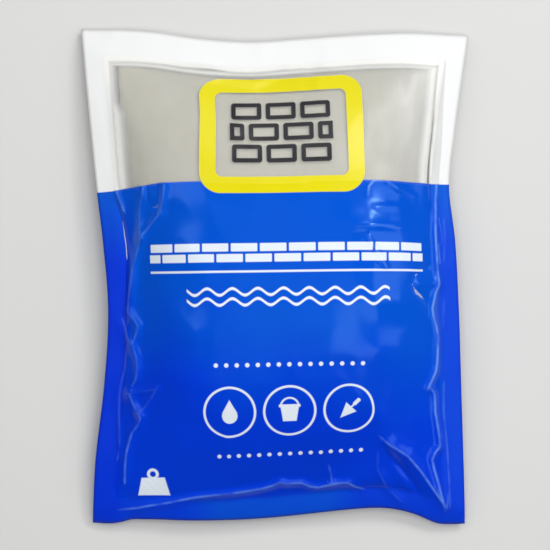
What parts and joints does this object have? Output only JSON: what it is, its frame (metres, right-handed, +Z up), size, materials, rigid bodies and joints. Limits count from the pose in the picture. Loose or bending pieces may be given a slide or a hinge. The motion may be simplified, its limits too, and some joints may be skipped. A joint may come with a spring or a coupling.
{
  "type": "cement bag",
  "caption": "Filled heat-sealed pouch of dry cement mortar lying on its back: printed outer bag with a clear window, clear liner bag and the powder inside.",
  "frame": {"origin": "on the floor, in the middle of the flat patch that the bag lies on", "axes": "+Z up, out of the bag's front; +Y along the bag's length, towards the windowed top; +X across it, to the right as the print is read"},
  "size_m": [0.219, 0.2801, 0.0468],
  "materials": {
    "printed_film_front": "glossy creased vinyl film printed white and blue, with a clear window in its upper third",
    "printed_film_back": "glossy vinyl film printed blue, with white margins at the top",
    "liner_film": "thin clear film, lightly wrinkled",
    "cement_powder": "matte fine powder with small lumps"
  },
  "bodies": {
    "root": {"outer_bag_front": "printed_film_front", "outer_bag_back": "printed_film_back", "inner_bag": "liner_film", "cement_fill": "cement_powder"}
  },
  "joints": []
}
